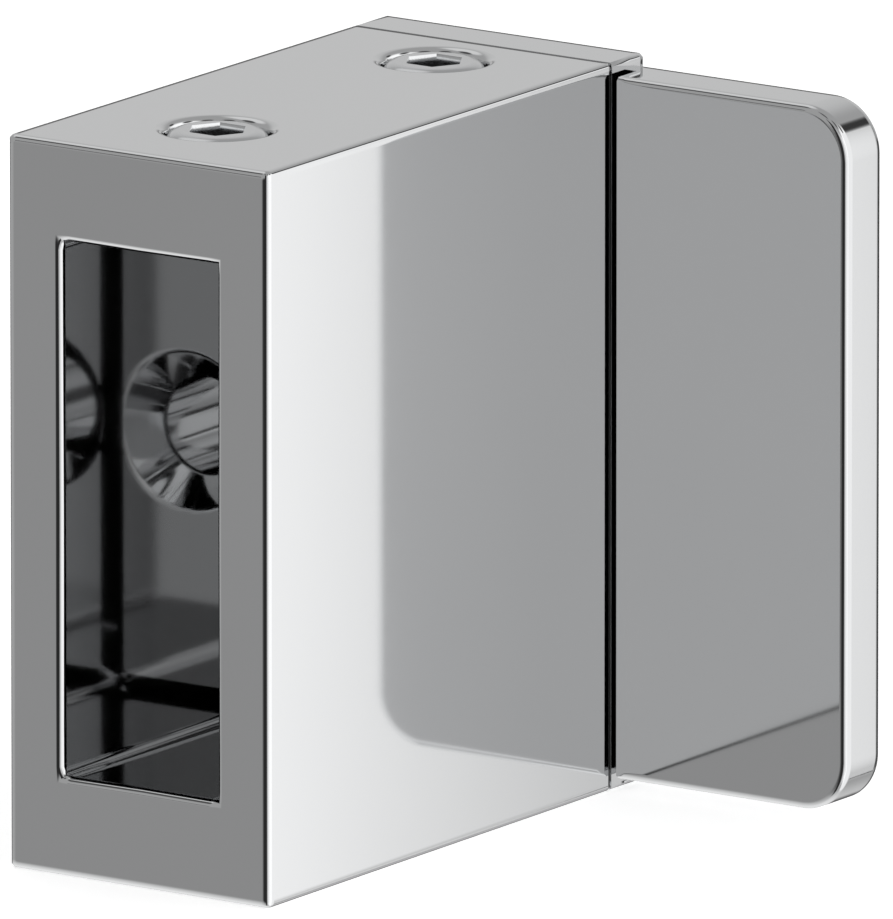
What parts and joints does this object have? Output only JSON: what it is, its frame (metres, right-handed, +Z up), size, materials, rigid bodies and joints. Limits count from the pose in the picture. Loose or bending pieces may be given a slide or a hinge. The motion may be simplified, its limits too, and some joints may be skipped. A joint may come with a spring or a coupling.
{
  "type": "shower screen bracket",
  "caption": "Polished chrome wall bracket: a rectangular sleeve on a wall plate's tenon takes a flat stabiliser bar, clamped by set screws, with a round-cornered wing at one side.",
  "frame": {"origin": "centre of the fixing hole on the wall face of the plate", "axes": "+X towards the wing, +Y into the wall, +Z up; the bar enters along +Y from the front"},
  "size_m": [0.0336, 0.0373, 0.042],
  "materials": {
    "polished_chrome": "bright chrome plate over machined metal, polished to a clear mirror",
    "screw_steel": "bright stainless steel, turned and lightly polished"
  },
  "bodies": {
    "wall_plate": {"wall_plate": "polished_chrome"},
    "sleeve": {"sleeve": "polished_chrome"},
    "front_set_screw": {"front_set_screw": "screw_steel"},
    "rear_set_screw": {"rear_set_screw": "screw_steel"}
  },
  "joints": [
    {"name": "sleeve_slide", "type": "slide", "parent": "wall_plate", "child": "sleeve", "axis": [0, -1, 0], "range_m": [0, 0.0142]},
    {"name": "front_screw_travel", "type": "slide", "parent": "sleeve", "child": "front_set_screw", "axis": [0, 0, 1], "range_m": [-0.001, 0.002]},
    {"name": "rear_screw_travel", "type": "slide", "parent": "sleeve", "child": "rear_set_screw", "axis": [0, 0, 1], "range_m": [0, 0.002]}
  ]
}
